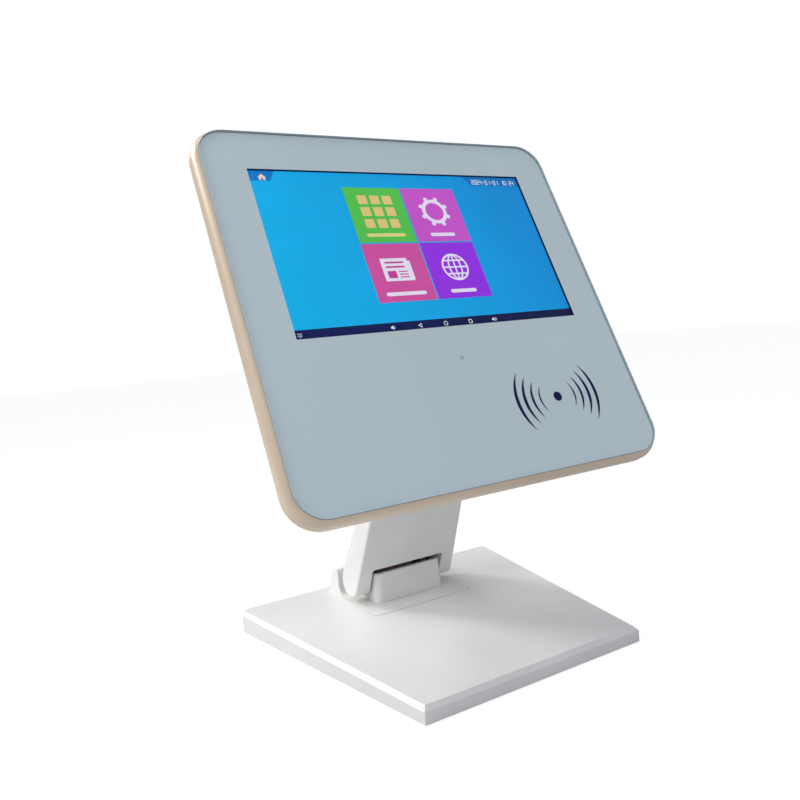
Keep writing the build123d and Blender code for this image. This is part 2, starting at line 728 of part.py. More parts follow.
TRAY_W, TRAY_H = 268.0, 157.0
with BuildPart() as display_gasket:
    add(sheet(3.95, 1.4, TRAY_W, TRAY_H, VIEW_MID))
    add(sheet(3, 4, VIEW_W + 2, VIEW_H + 2, VIEW_MID), mode=Mode.SUBTRACT)
save(display_gasket.part, "display_gasket")

save(sheet(5.4, 2.0, 266, 154, VIEW_MID), "lcd_cell")

TRAY_DEPTH = 7.45
TRAY_BACK = 11.4
with BuildPart() as backlight_tray:
    add(sheet(TRAY_DEPTH, TRAY_BACK - TRAY_DEPTH, TRAY_W, TRAY_H, VIEW_MID, radius=2))
    inner = sheet(TRAY_DEPTH - 1, 4.2, TRAY_W - 2.4, TRAY_H - 2.4, VIEW_MID)
    add(inner, mode=Mode.SUBTRACT)
save(backlight_tray.part, "backlight_tray")

save(sheet(7.55, 3.0, TRAY_W - 4, TRAY_H - 4, VIEW_MID), "light_guide")

# the steel chassis plate carries everything else; its standoffs are pressed into it
CHASSIS = 12.4
CHASSIS_T = 1.2
CHASSIS_BACK = CHASSIS + CHASSIS_T
BOARD = 17.6
BOARD_T = 1.6
BOARD_MID = 175.0
BOARD_POSTS = [(x, BOARD_MID + u) for x in (-79, 0, 79) for u in (-49, 49)]
PORT_BOARD = 19.2
PORT_MID = 84.0
PORT_POSTS = [(x, PORT_MID + 12) for x in (-76, 76)]
HOUSING_SCREWS = [(x, u) for u in (24.0, 281.0) for x in (-138.0, 0.0, 138.0)]
DISPLAY_CABLE_U, DISPLAY_CABLE_X = 111.0, (18.0, 42.0)
READER_CABLE_U, READER_CABLE_X = 106.0, (60.0, 70.0)
with BuildPart() as chassis_plate:
    wide, high = GLASS_W - 2 * LEDGE_IN - 1.6, GLASS_H - 2 * LEDGE_IN - 1.6
    add(sheet(CHASSIS, CHASSIS_T, wide, high, GLASS_H / 2, radius=GLASS_R - LEDGE_IN - 0.8))
    for posts, top in ((BOARD_POSTS, BOARD), (PORT_POSTS, PORT_BOARD)):
        with BuildSketch(panel(CHASSIS_BACK)):
            with Locations(*posts):
                Circle(3)
        extrude(amount=CHASSIS_BACK - top)
    with BuildSketch(panel(30)):
        with Locations(*BOARD_POSTS, *PORT_POSTS):
            Circle(1.3)
        with Locations(*HOUSING_SCREWS):
            Circle(1.6)
        with Locations((sum(DISPLAY_CABLE_X) / 2, DISPLAY_CABLE_U)):
            Rectangle(DISPLAY_CABLE_X[1] - DISPLAY_CABLE_X[0] + 4, 4)
        with Locations((sum(READER_CABLE_X) / 2, READER_CABLE_U)):
            Rectangle(READER_CABLE_X[1] - READER_CABLE_X[0] + 4, 4)
    extrude(amount=30, mode=Mode.SUBTRACT)
save(chassis_plate.part, "chassis_plate")

with BuildPart() as main_board:
    add(sheet(BOARD, BOARD_T, 170, 110, BOARD_MID, radius=3))
    with BuildSketch(panel(30)):
        with Locations(*BOARD_POSTS):
            Circle(1.6)
    extrude(amount=30, mode=Mode.SUBTRACT)
save(main_board.part, "main_board")

SOC_X, SOC_U = -8.0, 186.0
CHIP_FACE = BOARD + BOARD_T
CHIPS = [  # middle x, middle u, width, height, thickness
    (SOC_X, SOC_U, 21, 21, 1.5),
    (15, 200, 13, 9, 1.2),
    (15, 186, 13, 9, 1.2),
    (15, 172, 13, 9, 1.2),
    (-52, 205, 12, 14, 1.4),
    (44, 150, 9, 9, 1.1),
    (60, 198, 24, 30, 2.6),
    (-60, 150, 18, 12, 3.2),
]
with BuildPart() as board_chips:
    for x, u, width, height, thick in CHIPS:
        add(sheet(CHIP_FACE, thick, width, height, u, mid_x=x))
save(board_chips.part, "board_chips")

SINK = CHIP_FACE + 1.6
with BuildPart() as heat_sink:
    add(sheet(SINK, 3.0, 44, 44, SOC_U, mid_x=SOC_X))
    for k in range(9):
        add(sheet(SINK + 2.9, 8.0, 1.4, 44, SOC_U, mid_x=SOC_X - 21.3 + 5.325 * k))
save(heat_sink.part, "heat_sink")

with BuildPart() as clock_battery:
    with BuildSketch(panel(CHIP_FACE)):
        with Locations((-62, 180)):
            Circle(10)
    extrude(amount=-3.2)
    chamfer(clock_battery.edges().filter_by(GeomType.CIRCLE), 0.4)
save(clock_battery.part, "clock_battery")

with BuildPart() as board_screws:
    for x, u in BOARD_POSTS:
        seat = shifted(panel(CHIP_FACE), x, u)
        add(screw(Plane(seat.origin, seat.x_dir, -seat.z_dir), 2.7, 1.6, 1.3, 5.0))
    for x, u in PORT_POSTS:
        seat = shifted(panel(PORT_BOARD + BOARD_T), x, u)
        add(screw(Plane(seat.origin, seat.x_dir, -seat.z_dir), 2.7, 1.6, 1.3, 6.0))
save(board_screws.part, "board_screws")

save(sheet(3.6, 0.8, 92, 84, READER_U, mid_x=READER_X), "reader_board")
save(sheet(4.5, 0.3, 88, 80, READER_U, mid_x=READER_X), "reader_ferrite")

with BuildPart() as light_sensor:
    with BuildSketch(panel(5.0)):
        with Locations((0, SENSOR_U)):
            Circle(2.2)
    extrude(amount=1.6)
    add(sheet(5.0, 1.0, 10, 7, SENSOR_U))
save(light_sensor.part, "light_sensor")

SPEAKER_X, SPEAKER_U = 96.0, 36.0
with BuildPart() as speakers:
    for side in (-1, 1):
        add(sheet(14.4, 6.4, 62, 24, SPEAKER_U, mid_x=side * SPEAKER_X, radius=4))
        with BuildSketch(panel(20.0)):
            with Locations((side * SPEAKER_X, SPEAKER_U)):
                Ellipse(22, 9.5)
        extrude(amount=-1.8)
save(speakers.part, "speakers")

with BuildPart() as antenna_boards:
    for side in (-1, 1):
        add(sheet(14.2, 0.8, 12, 58, 215, mid_x=side * 142))
save(antenna_boards.part, "antenna_boards")

with BuildPart() as port_board:
    add(sheet(PORT_BOARD, BOARD_T, 166, 32, PORT_MID, radius=2))
    with BuildSketch(panel(30)):
        with Locations(*PORT_POSTS):
            Circle(1.6)
    extrude(amount=30, mode=Mode.SUBTRACT)
save(port_board.part, "port_board")

# ---- Sockets along the housing's lower wall; their mouths point down the panel ----
SOCKET_FACE = PORT_BOARD + BOARD_T
MOUTH_U = 62.6
INLET_X, NETWORK_X, USB_X, DRAWER_X, BUTTON_X = -50.0, -28.0, (-5.5, 12.5), 31.5, 50.0
INLET_DEPTH = SOCKET_FACE + 5.5
INLET_R, INLET_PIN_R = 3.1, 1.0


def mouth_plane(x, depth, u=MOUTH_U):
    """A plane across a socket's mouth; its normal points up the panel, into the socket."""
    base = panel(depth)
    return Plane(origin=base.from_local_coords((x, u, 0)), x_dir=(1, 0, 0), z_dir=base.y_dir)


def box_socket(x, width, thick, cavity_w, cavity_t, deep):
    """A board-mounted socket with a rectangular cavity open at its mouth."""
    mid = SOCKET_FACE + thick / 2
    with BuildPart(mode=Mode.PRIVATE) as socket:
        with BuildSketch(mouth_plane(x, mid)):
            Rectangle(width, thick)
        extrude(amount=deep + 2)
        with BuildSketch(mouth_plane(x, mid)):
            Rectangle(cavity_w, cavity_t)
        extrude(amount=deep, mode=Mode.SUBTRACT)
    return socket.part


with BuildPart() as power_inlet:
    with BuildSketch(mouth_plane(INLET_X, INLET_DEPTH)):
        Rectangle(11, 11)
    extrude(amount=13)
    with BuildSketch(mouth_plane(INLET_X, INLET_DEPTH)):
        Circle(INLET_R)
        Circle(INLET_PIN_R, mode=Mode.SUBTRACT)
    extrude(amount=9.5, mode=Mode.SUBTRACT)
save(power_inlet.part, "power_inlet")

NETWORK_T, DRAWER_T, USB_T = 12.6, 11.0, 6.4
save(box_socket(NETWORK_X, 16.0, NETWORK_T, 12.0, 8.8, 12.0), "network_socket")
save(box_socket(DRAWER_X, 13.6, DRAWER_T, 9.8, 7.8, 11.0), "drawer_socket")

with BuildPart() as usb_sockets:
    for x in USB_X:
        add(box_socket(x, 13.4, USB_T, 12.2, 5.2, 12.5))
        with BuildSketch(mouth_plane(x, SOCKET_FACE + 2.3, MOUTH_U + 1)):
            Rectangle(10.4, 1.8)
        extrude(amount=12.5)
save(usb_sockets.part, "usb_sockets")

BUTTON_R = 4.0
BUTTON_DEPTH = SOCKET_FACE + 5.0
BUTTON_OUT = 59.2
FLANGE_U = 63.9
SWITCH_U = FLANGE_U + 3.2
with BuildPart() as power_button:
    with BuildSketch(mouth_plane(BUTTON_X, BUTTON_DEPTH, BUTTON_OUT)):
        Circle(BUTTON_R)
    extrude(amount=FLANGE_U - BUTTON_OUT + 0.2)
    chamfer(power_button.edges().sort_by(Axis(PANEL_FOOT, panel().y_dir))[0], 0.5)
    with BuildSketch(mouth_plane(BUTTON_X, BUTTON_DEPTH, FLANGE_U)):
        Circle(BUTTON_R + 1.2)
    extrude(amount=1.2)
save(power_button.part, "power_button")

with BuildPart() as power_switch:
    with BuildSketch(mouth_plane(BUTTON_X, BUTTON_DEPTH, SWITCH_U)):
        Rectangle(7, 2 * (BUTTON_DEPTH - SOCKET_FACE))
    extrude(amount=6)
    with BuildSketch(mouth_plane(BUTTON_X, BUTTON_DEPTH, SWITCH_U)):
        Circle(1.7)
    extrude(amount=-0.9)
save(power_switch.part, "power_switch")

# ---- Rear housing: a skirt nested in the edge frame, and a bulge over the boards and sockets ----
BULGE_R = 20.0
BULGE_TAPER = 8.0
BULGE_FROM = SKIRT_DEPTH - 1.0
VENT_U, VENT_COUNT, VENT_STEP = 224.0, 17, 7.0
GRILLE_STEP = 3.6
BAY_HALF, BAY_LOW, BAY_FLOOR = 60.0, 30.0, 18.8
BULGE_LOW = BULGE_MID - BULGE_H / 2
BAY_WALL = 2.0
PLATE_HOLES = [
    (x, PLATE_MID + u)
    for x in (-PLATE_SQUARE / 2, PLATE_SQUARE / 2)
    for u in (-PLATE_SQUARE / 2, PLATE_SQUARE / 2)
]


def housing_form(inset):
    """The housing's skirt and bulge as one solid, inset all round and from behind."""
    edge = SKIRT_IN + SKIRT_GAP + inset
    wide, high = GLASS_W - 2 * edge, GLASS_H - 2 * edge
    start = SKIRT_FRONT + 0.3 - (1 if inset else 0)
    with BuildPart(mode=Mode.PRIVATE) as form:
        add(sheet(start, SKIRT_DEPTH - inset - start, wide, high, GLASS_H / 2, radius=GLASS_R - edge))
        fillet(form.faces().sort_by(Axis(PANEL_FOOT, panel().z_dir))[0].edges(), 6 - inset)
        with BuildSketch(panel(BULGE_FROM - inset)):
            with Locations((0, BULGE_MID)):
                RectangleRounded(BULGE_W - 2 * inset, BULGE_H - 2 * inset, BULGE_R - inset)
        extrude(amount=-(BULGE_DEPTH - BULGE_FROM), taper=BULGE_TAPER)
        fillet(form.faces().sort_by(Axis(PANEL_FOOT, panel().z_dir))[0].edges(), 4.5 - inset)
    return form.part


with BuildPart() as rear_housing:
    add(housing_form(0))
    add(housing_form(HOUSING_WALL), mode=Mode.SUBTRACT)
    # screw bosses reach forward to the chassis plate
    with BuildSketch(panel(CHASSIS_BACK + 0.05)):
        with Locations(*HOUSING_SCREWS):
            Circle(3.6)
    extrude(amount=-(SKIRT_DEPTH - 1.5 - CHASSIS_BACK))
    for radius, near in ((1.7, 10.0), (3.3, SKIRT_DEPTH - 1.9)):
        with BuildSketch(panel(near)):
            with Locations(*HOUSING_SCREWS):
                Circle(radius)
        extrude(amount=-40, mode=Mode.SUBTRACT)
    # bosses for the head bracket's screws
    with BuildSketch(panel(BULGE_DEPTH - HOUSING_WALL + 0.2)):
        with Locations(*PLATE_HOLES):
            Circle(5.0)
    extrude(amount=8.0)
    with BuildSketch(panel(60)):
        with Locations(*PLATE_HOLES):
            Circle(2.05)
    extrude(amount=40, mode=Mode.SUBTRACT)
    # the sockets open into a bay sunk in the skirt, under the bulge
    bay_front = BAY_FLOOR - BAY_WALL
    high = BULGE_LOW + HOUSING_WALL - BAY_LOW
    mid = (BULGE_LOW + HOUSING_WALL + BAY_LOW) / 2
    outside = 2 * BAY_WALL
    thick = SKIRT_DEPTH - 0.5 - bay_front
    add(sheet(bay_front, thick, 2 * BAY_HALF + outside, high + outside / 2, mid - BAY_WALL / 2))
    high = BULGE_LOW - BAY_LOW
    add(
        sheet(BAY_FLOOR, 9, 2 * BAY_HALF, high, BAY_LOW + high / 2),
        mode=Mode.SUBTRACT,
    )
    # mouths for the sockets and the button in the bulge's lower wall
    for x, width, depth, thick in (
        (INLET_X, 11.0, INLET_DEPTH, 11.0),
        (NETWORK_X, 16.0, SOCKET_FACE + NETWORK_T / 2, NETWORK_T),
        (USB_X[0], 13.4, SOCKET_FACE + USB_T / 2, USB_T),
        (USB_X[1], 13.4, SOCKET_FACE + USB_T / 2, USB_T),
        (DRAWER_X, 13.6, SOCKET_FACE + DRAWER_T / 2, DRAWER_T),
    ):
        with BuildSketch(mouth_plane(x, depth, 50)):
            Rectangle(width + 0.6, thick + 0.6)
        extrude(amount=18, mode=Mode.SUBTRACT)
    with BuildSketch(mouth_plane(BUTTON_X, BUTTON_DEPTH, 50)):
        Circle(BUTTON_R + 0.35)
    extrude(amount=14, mode=Mode.SUBTRACT)
    # warm air leaves through a row of slots near the top; sound through two grilles in the skirt
    with BuildSketch(panel(60)):
        with Locations((0, VENT_U)):
            with GridLocations(VENT_STEP, 1, VENT_COUNT, 1):
                SlotOverall(26, 2.6, rotation=90)
        for side in (-1, 1):
            with Locations((side * SPEAKER_X, SPEAKER_U)):
                with GridLocations(GRILLE_STEP, GRILLE_STEP, 11, 4):
                    Circle(1.0)
    extrude(amount=42, mode=Mode.SUBTRACT)
save(rear_housing.part, "rear_housing")

with BuildPart() as housing_screws:
    for x, u in HOUSING_SCREWS:
        seat = shifted(panel(SKIRT_DEPTH - 1.9), x, u)
        add(screw(Plane(seat.origin, seat.x_dir, -seat.z_dir), 3.0, 1.5, 1.6, 10.6))
save(housing_screws.part, "housing_screws")

# ---- Head bracket: a plate screwed to the housing's back, with two ears round the upper shaft ----
PLATE_DEPTH = BULGE_DEPTH + 0.1
PLATE_T = 2.2
PLATE_W, PLATE_LOW, PLATE_HIGH = 94.0, 97.0, 206.0
EAR_INNER, EAR_OUTER = 20.0, 24.0
PLATE_BACK_X = PLATE_DEPTH + PLATE_T - AXIS_DEPTH
with BuildPart() as head_bracket:
    plate_u = (PLATE_LOW + PLATE_HIGH) / 2
    add(sheet(PLATE_DEPTH, PLATE_T, PLATE_W, PLATE_HIGH - PLATE_LOW, plate_u, radius=7))
    with BuildSketch(panel(80)):
        with Locations(*PLATE_HOLES):
            Circle(2.2)
        with Locations((0, 176)):
            SlotOverall(36, 14)
    extrude(amount=60, mode=Mode.SUBTRACT)
    for x in (-EAR_OUTER, EAR_INNER):
        with BuildSketch(head_side(x)):
            Circle(9.5)
            Polygon(
                (PLATE_BACK_X - 0.5, -4.0),
                (-4.0, -8.6),
                (8.0, 5.0),
                (-8.5, 38.0),
                (PLATE_BACK_X - 0.5, 42.0),
                align=None,
            )
            Circle(UPPER_SHAFT_R + RUNNING + BUSH_WALL, mode=Mode.SUBTRACT)
        extrude(amount=EAR_OUTER - EAR_INNER)
save(head_bracket.part, "head_bracket")

with BuildPart() as head_hinge_bushes:
    for x in (-EAR_OUTER, EAR_INNER):
        bore = UPPER_SHAFT_R + RUNNING
        add(ring_solid(head_side(x), bore + BUSH_WALL, bore, EAR_OUTER - EAR_INNER))
save(head_hinge_bushes.part, "head_hinge_bushes")

with BuildPart() as bracket_screws:
    for x, u in PLATE_HOLES:
        seat = shifted(panel(PLATE_DEPTH + PLATE_T), x, u)
        add(screw(Plane(seat.origin, seat.x_dir, -seat.z_dir), 3.8, 2.2, 2.0, 9.0))
save(bracket_screws.part, "bracket_screws")


def ribbon(x_span, points):
    """A flat cable of even thickness that follows points given as (depth, u)."""
    lean = radians(PANEL_LEAN)
    side = Plane(
        origin=(x_span[0], PANEL_FOOT[1], PANEL_FOOT[2]),
        x_dir=(0, cos(lean), -sin(lean)),
        z_dir=(1, 0, 0),
    )
    with BuildPart() as flat:
        with BuildSketch(side):
            with BuildLine():
                FilletPolyline(*points, radius=1.2)
            trace(line_width=0.3)
        extrude(amount=x_span[1] - x_span[0])
    return flat.part


save(
    ribbon(DISPLAY_CABLE_X, [(11.6, 140), (11.6, 111), (19.45, 111), (19.45, 128)]),
    "display_cable",
)
save(
    ribbon(READER_CABLE_X, [(5.05, 85), (5.05, 106), (21.05, 106), (21.05, 93)]),
    "reader_cable",
)
save(
    ribbon((-44.0, -34.0), [(21.05, 92), (21.05, 106), (19.45, 114), (19.45, 128)]),
    "port_cable",
)
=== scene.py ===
from math import cos, pi, radians, sin

import bmesh
import bpy
from mathutils import Matrix, Vector


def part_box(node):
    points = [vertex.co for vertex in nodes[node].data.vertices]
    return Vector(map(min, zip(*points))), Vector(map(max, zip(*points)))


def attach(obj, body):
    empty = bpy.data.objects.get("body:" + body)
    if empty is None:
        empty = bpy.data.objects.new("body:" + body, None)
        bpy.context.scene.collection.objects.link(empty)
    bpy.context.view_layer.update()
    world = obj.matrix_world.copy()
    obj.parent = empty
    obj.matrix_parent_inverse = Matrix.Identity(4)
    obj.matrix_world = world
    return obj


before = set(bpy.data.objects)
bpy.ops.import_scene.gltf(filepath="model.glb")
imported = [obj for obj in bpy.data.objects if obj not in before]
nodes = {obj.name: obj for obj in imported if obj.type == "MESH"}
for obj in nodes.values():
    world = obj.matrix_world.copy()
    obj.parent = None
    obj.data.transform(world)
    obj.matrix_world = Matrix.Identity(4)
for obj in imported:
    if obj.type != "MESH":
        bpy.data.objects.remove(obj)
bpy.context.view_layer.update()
scene = bpy.context.scene
scene.view_settings.view_transform = "Standard"
MM = 0.001

# ---- Camera: at the photograph's place, with its slight roll ----
CAMERA_AZIMUTH, CAMERA_ELEVATION, CAMERA_ROLL = -29.866, 4.830, -5.279
CAMERA_PLACE = (-0.3305, -0.5367, 0.2535)
SENSOR = 36.0
LENS = 34.09
CLIP = (0.01, 60)


def make_camera():
    azimuth, elevation, roll = (
        radians(v) for v in (CAMERA_AZIMUTH, CAMERA_ELEVATION, CAMERA_ROLL)
    )
    back = Vector(
        (sin(azimuth) * cos(elevation), -cos(azimuth) * cos(elevation), sin(elevation))
    )
    right = (-back).cross(Vector((0, 0, 1))).normalized()
    up = right.cross(-back)
    across = cos(roll) * right + sin(roll) * up
    upright = -sin(roll) * right + cos(roll) * up
    data = bpy.data.cameras.new("camera")
    data.sensor_width = SENSOR
    data.lens = LENS
    data.clip_start, data.clip_end = CLIP
    camera = bpy.data.objects.new("camera", data)
    turn = Matrix((across, upright, back)).transposed().to_4x4()
    camera.matrix_world = Matrix.Translation(CAMERA_PLACE) @ turn
    scene.collection.objects.link(camera)
    scene.camera = camera


make_camera()

# ---- Materials ----
# Noise scales are in cycles per metre, relief in metres; a swing is how far a value strays.
CLOUD_SCALE = 14
SMEAR_SCALE = 60
GLOSS_SWING = 0.05
GRAIN_SWING = 0.02
COAT_ROUGH = 0.25
METAL_CLOUD_SCALE = 45
METAL_GLOSS_SWING = 0.06
METAL_CLOUD_SWING = 0.03
STREAK_SHARE = 0.25
STREAK_SHADE = 0.8


def linear(rgb):
    """A colour given as 0-255 display values, as the linear values that shaders use."""
    out = []
    for v in rgb:
        v = v / 255
        out.append(v / 12.92 if v <= 0.04045 else ((v + 0.055) / 1.055) ** 2.4)
    return (*out, 1.0)


def scaled(colour, k):
    return (*[min(1.0, c * k) for c in colour[:3]], 1.0)


class Shader:
    """A material's node tree, built by naming each node's inputs."""

    def __init__(self, name):
        self.material = bpy.data.materials.new(name)
        self.material.use_nodes = True
        self.tree = self.material.node_tree
        self.tree.nodes.clear()
        self.coords = self.node("ShaderNodeTexCoord").outputs["Object"]

    def node(self, kind, inputs=None, **settings):
        node = self.tree.nodes.new(kind)
        for key, value in settings.items():
            setattr(node, key, value)
        for key, value in (inputs or {}).items():
            socket = node.inputs[key]
            if isinstance(value, bpy.types.NodeSocket):
                self.tree.links.new(value, socket)
            else:
                socket.default_value = value
        return node

    def noise(self, scale, detail=3.0, rough=0.5, stretch=None):
        coords = self.coords
        if stretch:
            coords = self.node("ShaderNodeMapping", {"Vector": coords, "Scale": stretch}).outputs[0]
        return self.node(
            "ShaderNodeTexNoise",
            {"Vector": coords, "Scale": scale, "Detail": detail, "Roughness": rough},
        ).outputs["Fac"]

    def remap(self, value, low, high, start=0.3, end=0.7):
        return self.node(
            "ShaderNodeMapRange",
            {"Value": value, "From Min": start, "From Max": end, "To Min": low, "To Max": high},
        ).outputs["Result"]

    def math(self, operation, a, b=0.0):
        return self.node("ShaderNodeMath", {0: a, 1: b}, operation=operation).outputs[0]

    def blend(self, fac, a, b):
        mix = self.node("ShaderNodeMix", data_type="RGBA")
        for index, value in ((0, fac), (6, a), (7, b)):
            if isinstance(value, bpy.types.NodeSocket):
                self.tree.links.new(value, mix.inputs[index])
            else:
                mix.inputs[index].default_value = value
        return mix.outputs[2]

    def bump(self, height, distance):
        inputs = {"Height": height, "Distance": distance, "Strength": 1.0}
        return self.node("ShaderNodeBump", inputs).outputs["Normal"]

    def principled(self, **inputs):
        named = {key.replace("_", " "): value for key, value in inputs.items()}
        return self.node("ShaderNodeBsdfPrincipled", named).outputs[0]

    def done(self, surface):
        self.node("ShaderNodeOutputMaterial", {"Surface": surface})
        return self.material


def moulded(name, rgb, rough=0.4, grain=0.00035, relief=0.00001, coat=0.0, mottle=0.04):
    """Moulded or painted plastic: fine grain, faint tone drift, and handling marks in the gloss."""
    s = Shader(name)
    colour = linear(rgb)
    drift = s.noise(CLOUD_SCALE, 4)
    tone = s.blend(s.remap(drift, 0, 1), scaled(colour, 1 - mottle), scaled(colour, 1 + mottle))
    fine = s.noise(1 / grain, 2, 0.6)
    smears = s.noise(SMEAR_SCALE, 5, 0.65, stretch=(1, 2.5, 1))
    handled = s.remap(smears, rough - GLOSS_SWING, rough + GLOSS_SWING)
    gloss = s.math("ADD", handled, s.remap(fine, -GRAIN_SWING, GRAIN_SWING))
    return s.done(
        s.principled(
            Base_Color=tone,
            Roughness=gloss,
            Normal=s.bump(fine, relief),
            Coat_Weight=coat,
            Coat_Roughness=COAT_ROUGH,
        )
    )


def metal(name, rgb, rough=0.3, grain=(1, 1, 1), scale=2500, relief=0.000004, mottle=0.06):
    """Bare, plated or anodised metal, brushed along the axis with the smallest grain factor."""
    s = Shader(name)
    colour = linear(rgb)
    streaks = s.noise(scale, 3, 0.6, stretch=grain)
    clouds = s.noise(METAL_CLOUD_SCALE, 4)
    tone = s.blend(s.remap(clouds, 0, 1), scaled(colour, 1 - mottle), scaled(colour, 1 + mottle))
    tone = s.blend(s.remap(streaks, 0, STREAK_SHARE), tone, scaled(colour, STREAK_SHADE))
    drawn = s.remap(streaks, rough - METAL_GLOSS_SWING, rough + METAL_GLOSS_SWING)
    gloss = s.math("ADD", drawn, s.remap(clouds, -METAL_CLOUD_SWING, METAL_CLOUD_SWING))
    return s.done(
        s.principled(
            Base_Color=tone, Metallic=1.0, Roughness=gloss, Normal=s.bump(streaks, relief)
        )
    )


WHITE = (238, 238, 236)
COARSE = {"grain": 0.0008, "relief": 0.00004}
looks = {}

looks["white"] = moulded("white_moulding", WHITE, rough=0.42, coat=0.15)
looks["white_grained"] = moulded(
    "white_grained_moulding", WHITE, rough=0.52, grain=0.0006, relief=0.00003
)
looks["taupe"] = moulded("taupe_coat", (150, 128, 112), rough=0.35, coat=0.2)
looks["black_coat"] = moulded("black_powder_coat", (38, 38, 40), rough=0.55, **COARSE)
looks["grey_coat"] = moulded("grey_powder_coat", (206, 206, 204), rough=0.5, **COARSE)
looks["rubber"] = moulded("foot_rubber", (24, 24, 25), rough=0.75, grain=0.0005, relief=0.00002)
looks["foam"] = moulded("black_foam", (18, 18, 20), rough=0.9, grain=0.0007, relief=0.00008)
looks["black_plastic"] = moulded("black_moulding", (26, 26, 28), rough=0.4)
looks["acetal"] = moulded("acetal", (226, 220, 204), rough=0.3)
looks["board"] = moulded("solder_mask", (18, 92, 52), rough=0.3, coat=0.4)
looks["blue_board"] = moulded("blue_solder_mask", (22, 66, 128), rough=0.3, coat=0.4)
looks["sensor_lens"] = moulded("sensor_lens", (196, 210, 216), rough=0.3)
looks["film"] = moulded("polyimide_film", (196, 126, 48), rough=0.25, coat=0.3)
looks["ribbon"] = moulded("ribbon_insulation", (222, 222, 218), rough=0.4)
looks["acrylic"] = moulded("acrylic_sheet", (232, 236, 238), rough=0.2)
looks["ferrite"] = moulded("ferrite_sheet", (44, 44, 47), rough=0.5)
looks["steel"] = metal("zinc_plated_steel", (172, 174, 178), rough=0.34, grain=(1, 0.04, 1))
looks["dark_steel"] = metal("phosphated_steel", (112, 113, 117), rough=0.42)
looks["ground_steel"] = metal("ground_shaft", (190, 191, 194), rough=0.2, grain=(1, 0.02, 0.02))
looks["spring_steel"] = metal("spring_steel", (158, 150, 138), rough=0.35)
looks["shield"] = metal("plated_shield", (196, 197, 200), rough=0.25, grain=(0.05, 1, 1))
looks["dark_fins"] = metal("black_anodised_fins", (52, 52, 56), rough=0.4, grain=(1, 0.04, 0.04))
looks["nickel"] = metal("nickel_plate", (206, 205, 202), rough=0.2)

CHAMPAGNE = (232, 213, 190)
BEAD_SCALE = 5200
BEAD_RELIEF = 0.000006
BEAD_SWING = 0.03
SATIN_METALLIC = 0.35
SATIN_GLOSS = (0.36, 0.42)


def champagne():
    """Satin anodised band: an even warm tone with very fine bead blasting."""
    s = Shader("champagne_anodising")
    colour = linear(CHAMPAGNE)
    clouds = s.noise(12, 3)
    beads = s.noise(BEAD_SCALE, 2, 0.6)
    tone = s.blend(s.remap(clouds, 0, 1), scaled(colour, 0.96), scaled(colour, 1.03))
    gloss = s.math("ADD", s.remap(clouds, *SATIN_GLOSS), s.remap(beads, -BEAD_SWING, BEAD_SWING))
    return s.done(
        s.principled(
            Base_Color=tone,
            Metallic=SATIN_METALLIC,
            Roughness=gloss,
            Normal=s.bump(beads, BEAD_RELIEF),
        )
    )


looks["champagne"] = champagne()

PANEL_LEAN = radians(25.6)
PANEL_UP = Vector((0, sin(PANEL_LEAN), cos(PANEL_LEAN)))
PANEL_OUT = Vector((0, -cos(PANEL_LEAN), sin(PANEL_LEAN)))

EDGE_TURN = 0.35  # a face whose normal agrees with the panel's by less than this is an edge
EDGE_ROUGH = 0.45
GRIND_SCALE = 3000
CLEAR_TINT = (0.985, 0.995, 0.995, 1)


def clear_sheet(name, edge_rgb, index):
    """A clear sheet parallel to the panel: its faces mirror by angle, its edges are frosted."""
    s = Shader(name)
    geometry = s.node("ShaderNodeNewGeometry")
    facing = s.node("ShaderNodeTexCoord").outputs["Normal"]
    along = s.node(
        "ShaderNodeVectorMath", {0: facing, 1: PANEL_OUT}, operation="DOT_PRODUCT"
    ).outputs["Value"]
    is_edge = s.math("LESS_THAN", s.math("ABSOLUTE", along), EDGE_TURN)
    smears = s.noise(25, 6, 0.7, stretch=(1, 2, 1))
    shine = s.principled(
        Base_Color=(1, 1, 1, 1), Metallic=1.0, Roughness=s.remap(smears, 0.01, 0.05)
    )
    by_angle = s.node("ShaderNodeFresnel", {"IOR": index}).outputs[0]
    outward = s.math("SUBTRACT", 1.0, geometry.outputs["Backfacing"])
    clear = s.node("ShaderNodeBsdfTransparent", {"Color": CLEAR_TINT}).outputs[0]
    face = s.node(
        "ShaderNodeMixShader", {0: s.math("MULTIPLY", by_angle, outward), 1: clear, 2: shine}
    ).outputs[0]
    grind = s.noise(GRIND_SCALE, 2)
    edge = s.principled(
        Base_Color=s.blend(s.remap(grind, 0, 1), linear(edge_rgb), scaled(linear(edge_rgb), 1.1)),
        Roughness=EDGE_ROUGH,
    )
    return s.done(s.node("ShaderNodeMixShader", {0: is_edge, 1: face, 2: edge}).outputs[0])


looks["glass"] = clear_sheet("cover_glass_clear", (168, 184, 194), 1.4)
looks["touch"] = clear_sheet("touch_film", (60, 66, 72), 1.08)

MESH_SCALE = 4200
MESH_RELIEF = 0.000002


def printed(name, rgb):
    """Screen-printed ink seen through the glass: even, with a faint mesh and a slow tone drift."""
    s = Shader(name)
    colour = linear(rgb)
    drift = s.noise(5, 3)
    mesh = s.noise(MESH_SCALE, 2)
    tone = s.blend(s.remap(drift, 0, 1), scaled(colour, 0.97), scaled(colour, 1.03))
    tone = s.blend(s.remap(mesh, 0, 0.12), tone, scaled(colour, 0.9))
    rough = s.remap(mesh, 0.45, 0.55)
    return s.done(s.principled(Base_Color=tone, Roughness=rough, Normal=s.bump(mesh, MESH_RELIEF)))


looks["border_ink"] = printed("border_ink", (232, 244, 248))
looks["mark_ink"] = printed("mark_ink", (0, 10, 88))

